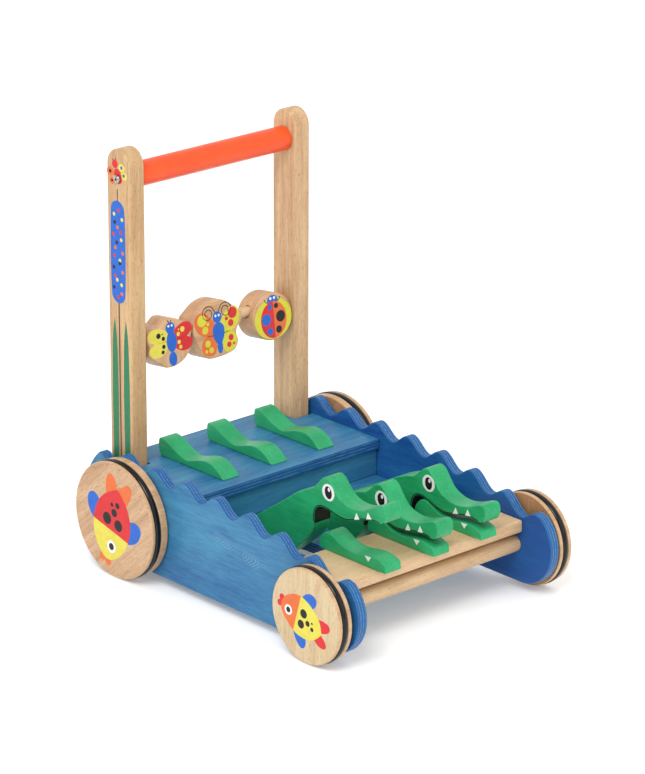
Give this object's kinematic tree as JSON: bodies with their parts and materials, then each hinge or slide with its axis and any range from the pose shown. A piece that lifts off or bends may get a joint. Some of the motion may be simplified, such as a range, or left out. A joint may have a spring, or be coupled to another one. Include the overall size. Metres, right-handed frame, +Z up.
{
  "type": "baby walker",
  "caption": "Wooden push-along baby walker on rubber-ringed wheels, with snapping alligators in a wave-edged body and shaped beads on a rod below the handle.",
  "frame": {"origin": "on the floor, under the middle of the walker's length and width", "axes": "+Z up, the alligators face -Y, and X runs across the walker along its axles"},
  "size_m": [0.3308, 0.4358, 0.46],
  "materials": {
    "blue_stain": "satin stain over plywood",
    "birch_ply": "satin lacquer",
    "green_paint": "satin paint",
    "pale_wood": "satin lacquer",
    "post_wood": "satin lacquer",
    "red_lacquer": "gloss lacquer",
    "black_rubber": "smooth",
    "white_nylon": "matte",
    "chromed_steel": "polished"
  },
  "bodies": {
    "chassis": {"side_panel_left": "blue_stain", "side_panel_right": "blue_stain", "deck_board": "blue_stain", "riser_board": "blue_stain", "rear_board": "blue_stain", "floor_board": "blue_stain", "jaw_plate": "birch_ply", "lower_jaw_left": "green_paint", "lower_jaw_middle": "green_paint", "lower_jaw_right": "green_paint", "back_left": "green_paint", "back_middle": "green_paint", "back_right": "green_paint", "pivot_rod": "pale_wood", "post_left": "post_wood", "post_right": "post_wood", "post_spacer_left": "white_nylon", "post_spacer_right": "white_nylon", "handle_bar": "red_lacquer", "handle_bolt_left": "chromed_steel", "handle_bolt_right": "chromed_steel", "post_bolt_left_lower": "chromed_steel", "post_bolt_left_upper": "chromed_steel", "post_bolt_right_lower": "chromed_steel", "post_bolt_right_upper": "chromed_steel", "bead_rod": "pale_wood"},
    "front_wheels": {"front_axle": "pale_wood", "front_wheel_left": "pale_wood", "front_wheel_right": "pale_wood", "front_tyre_left": "black_rubber", "front_tyre_right": "black_rubber", "front_washer_left": "white_nylon", "front_washer_right": "white_nylon"},
    "rear_wheels": {"rear_axle": "pale_wood", "rear_wheel_left": "pale_wood", "rear_wheel_right": "pale_wood", "rear_tyre_left": "black_rubber", "rear_tyre_right": "black_rubber", "rear_washer_left": "white_nylon", "rear_washer_right": "white_nylon", "cam_left": "pale_wood", "cam_middle": "pale_wood", "cam_right": "pale_wood"},
    "left_alligator": {"head_left": "green_paint"},
    "middle_alligator": {"head_middle": "green_paint"},
    "right_alligator": {"head_right": "green_paint"},
    "small_butterfly": {"bead_small_butterfly": "post_wood"},
    "large_butterfly": {"bead_large_butterfly": "post_wood"},
    "ladybird": {"bead_ladybird": "post_wood"}
  },
  "joints": [
    {"name": "front_axle_spin", "type": "hinge", "parent": "chassis", "child": "front_wheels", "pos_m": [0, -0.16335, 0.052], "axis": [1, 0, 0], "continuous": true},
    {"name": "rear_axle_spin", "type": "hinge", "parent": "chassis", "child": "rear_wheels", "pos_m": [0, 0.14065, 0.0655], "axis": [1, 0, 0], "continuous": true},
    {"name": "left_jaw", "type": "hinge", "parent": "chassis", "child": "left_alligator", "pos_m": [0, 0.07665, 0.084], "axis": [-1, 0, 0], "range_deg": [-7.3, 2.2]},
    {"name": "middle_jaw", "type": "hinge", "parent": "chassis", "child": "middle_alligator", "pos_m": [0, 0.07665, 0.084], "axis": [-1, 0, 0], "range_deg": [0, 9.5]},
    {"name": "right_jaw", "type": "hinge", "parent": "chassis", "child": "right_alligator", "pos_m": [0, 0.07665, 0.084], "axis": [-1, 0, 0], "range_deg": [0, 9.5]},
    {"name": "small_butterfly_spin", "type": "hinge", "parent": "chassis", "child": "small_butterfly", "pos_m": [0, 0.17305, 0.2422], "axis": [1, 0, 0], "continuous": true},
    {"name": "large_butterfly_spin", "type": "hinge", "parent": "chassis", "child": "large_butterfly", "pos_m": [0, 0.17305, 0.2422], "axis": [1, 0, 0], "continuous": true},
    {"name": "ladybird_spin", "type": "hinge", "parent": "chassis", "child": "ladybird", "pos_m": [0, 0.17305, 0.2422], "axis": [1, 0, 0], "continuous": true}
  ]
}
